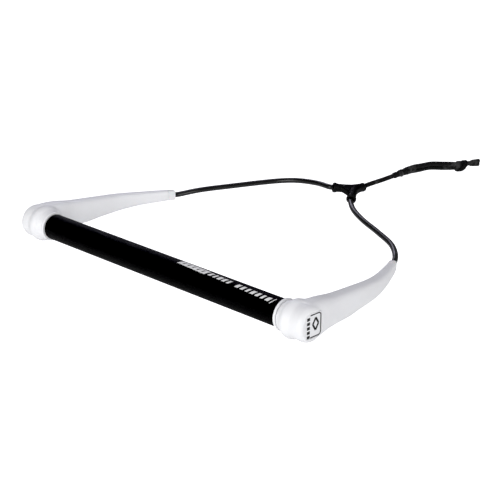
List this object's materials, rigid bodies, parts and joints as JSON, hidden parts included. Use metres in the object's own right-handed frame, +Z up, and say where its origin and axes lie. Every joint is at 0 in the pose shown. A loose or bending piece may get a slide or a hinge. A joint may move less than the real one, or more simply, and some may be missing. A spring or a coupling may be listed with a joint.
{
  "type": "tow rope handle",
  "caption": "Rubber-gripped bar with two moulded end arms, a sleeved rope bridle, a rubber yoke and a knotted tow loop, held in both hands behind a boat.",
  "frame": {"origin": "centre of the whole object's box; the bar's axis is 260.7 mm towards -Y from it", "axes": "+X along the bar, +Y from the bar towards the boat, +Z up, square to the flat bridle"},
  "size_m": [0.426, 0.5637, 0.0402],
  "materials": {
    "alloy": "drawn tube, hidden under the grip",
    "grip_rubber": "matte, finely grained",
    "arm_rubber": "white moulded rubber, satin",
    "plug_rubber": "matte, hidden in the bar",
    "ferrule_nylon": "white nylon, satin",
    "core_rope": "braided low-stretch rope",
    "leg_tubing": "smooth glossy sleeve",
    "yoke_rubber": "matte moulded rubber",
    "tow_braid": "matte braid"
  },
  "bodies": {
    "handle": {"bar_tube": "alloy", "grip_sleeve": "grip_rubber", "grip_collar_left": "arm_rubber", "grip_collar_right": "arm_rubber", "bar_plug_left": "plug_rubber", "bar_plug_right": "plug_rubber", "arm_left": "arm_rubber", "arm_right": "arm_rubber", "tip_ferrule_left": "ferrule_nylon", "tip_ferrule_right": "ferrule_nylon", "end_cap_left": "arm_rubber", "end_cap_right": "arm_rubber", "bridle_rope_in_bar": "core_rope"},
    "left_leg": {"leg_rope_left": "core_rope", "leg_sleeve_left": "leg_tubing"},
    "right_leg": {"leg_rope_right": "core_rope", "leg_sleeve_right": "leg_tubing"},
    "yoke": {"yoke_body": "yoke_rubber", "yoke_rope_splice": "core_rope"},
    "line_root": {"tow_line_root": "tow_braid"},
    "line": {"tow_line": "tow_braid", "line_splice": "tow_braid"},
    "loop_front": {"loop_strand_lower_front": "tow_braid", "loop_strand_upper_front": "tow_braid"},
    "loop_back": {"loop_strand_lower_back": "tow_braid", "loop_strand_upper_back": "tow_braid", "tow_knot": "tow_braid", "tow_tail": "tow_braid"}
  },
  "joints": [
    {"name": "bridle_swing", "type": "hinge", "parent": "handle", "child": "left_leg", "pos_m": [-0.1651, -0.08286, -0.00087], "axis": [1, 0, 0], "range_deg": [-90, 90], "stiffness_Nm_per_rad": 0.4},
    {"name": "right_leg_swing", "type": "hinge", "parent": "handle", "child": "right_leg", "pos_m": [0.1651, -0.08286, -0.00087], "axis": [1, 0, 0], "range_deg": [-90, 90]},
    {"name": "yoke_tilt", "type": "hinge", "parent": "left_leg", "child": "yoke", "pos_m": [-0.02182, 0.03107, 0.01544], "axis": [0.9644, -0.0539, -0.2588], "range_deg": [-45, 45], "stiffness_Nm_per_rad": 0.2},
    {"name": "line_yaw", "type": "hinge", "parent": "yoke", "child": "line_root", "pos_m": [-0.0023, 0.0739, 0.0119], "axis": [0, 0, 1], "range_deg": [-60, 60], "stiffness_Nm_per_rad": 0.08},
    {"name": "line_pitch", "type": "hinge", "parent": "line_root", "child": "line", "pos_m": [-0.0026, 0.1073, 0.012], "axis": [1, 0, 0], "range_deg": [-60, 60], "stiffness_Nm_per_rad": 0.08},
    {"name": "loop_yaw", "type": "hinge", "parent": "line", "child": "loop_front", "pos_m": [-0.006, 0.1673, 0.0113], "axis": [0, 0, 1], "range_deg": [-50, 50], "stiffness_Nm_per_rad": 0.05},
    {"name": "loop_pitch", "type": "hinge", "parent": "loop_front", "child": "loop_back", "pos_m": [-0.0022, 0.2003, 0.0098], "axis": [1, 0, 0], "range_deg": [-40, 40], "stiffness_Nm_per_rad": 0.05}
  ],
  "couplings": [
    {"joint": "right_leg_swing", "follows": "bridle_swing", "ratio": 1}
  ]
}
